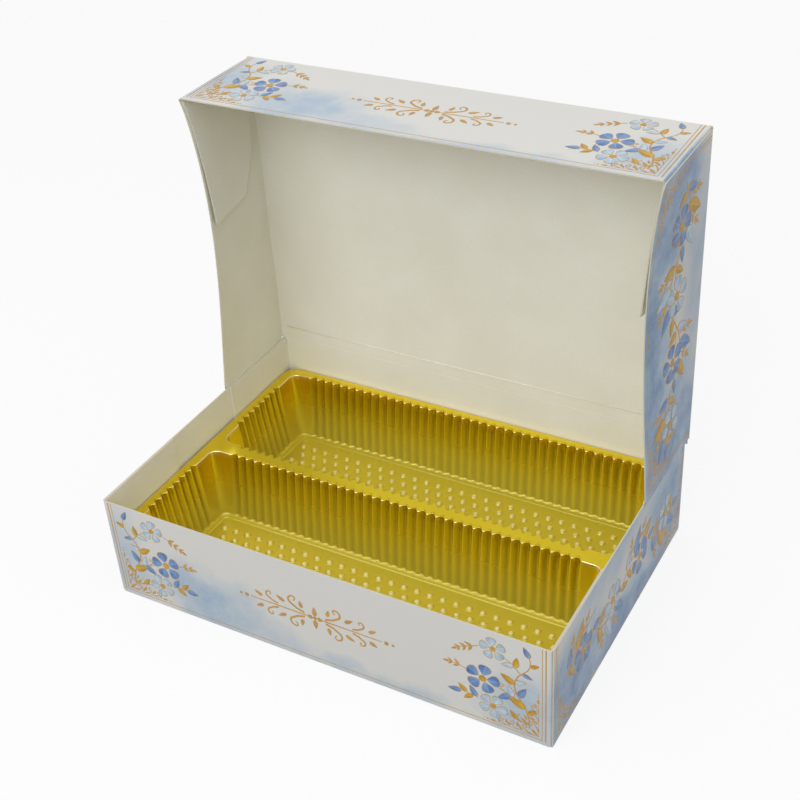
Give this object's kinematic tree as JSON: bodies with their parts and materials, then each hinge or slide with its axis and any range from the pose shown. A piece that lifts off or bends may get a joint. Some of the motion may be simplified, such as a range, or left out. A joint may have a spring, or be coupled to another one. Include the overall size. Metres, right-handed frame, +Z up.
{
  "type": "sweet box",
  "caption": "Flip-lid folding carton for sweets: full-depth lid on a creased back hinge over a low base, with a loose fluted gold tray divided into long wells.",
  "frame": {"origin": "centre of the base's footprint, on the table", "axes": "+X to the right along the long side, the front faces -Y, +Z up; the lid stands upright at rest"},
  "size_m": [0.2434, 0.166, 0.2268],
  "materials": {
    "printed_board": "white board with a pale blue and gold print and a soft satin varnish outside, ivory inside",
    "inner_board": "uncoated ivory board",
    "glue_line": "dried white glue",
    "gold_tray": "metallised gold, satin gloss"
  },
  "bodies": {
    "base": {"base_floor": "printed_board", "base_front_wall": "printed_board", "base_back_wall": "printed_board", "base_left_wall": "printed_board", "base_right_wall": "printed_board", "base_front_fold": "printed_board", "base_back_fold": "printed_board", "base_left_fold": "printed_board", "base_right_fold": "printed_board", "hinge_crease": "printed_board", "base_tab_front_left": "inner_board", "base_tab_front_right": "inner_board", "base_tab_back_left": "inner_board", "base_tab_back_right": "inner_board", "base_glue_front_left": "glue_line", "base_glue_front_right": "glue_line", "base_glue_back_left": "glue_line", "base_glue_back_right": "glue_line"},
    "lid": {"lid_top_panel": "printed_board", "lid_front_flange": "printed_board", "lid_left_side": "printed_board", "lid_right_side": "printed_board", "lid_front_fold": "printed_board", "lid_left_fold": "printed_board", "lid_right_fold": "printed_board", "lid_tab_left": "inner_board", "lid_tab_right": "inner_board", "lid_glue_left": "glue_line", "lid_glue_right": "glue_line"},
    "tray": {"tray_rim": "gold_tray", "tray_front_well": "gold_tray", "tray_back_well": "gold_tray"}
  },
  "joints": [
    {"name": "lid_hinge", "type": "hinge", "parent": "base", "child": "lid", "pos_m": [0, 0.0827, 0.06], "axis": [-1, 0, 0], "range_deg": [-90, 90]},
    {"name": "tray_lift", "type": "slide", "parent": "base", "child": "tray", "axis": [0, 0, 1], "range_m": [0, 0.018]}
  ]
}
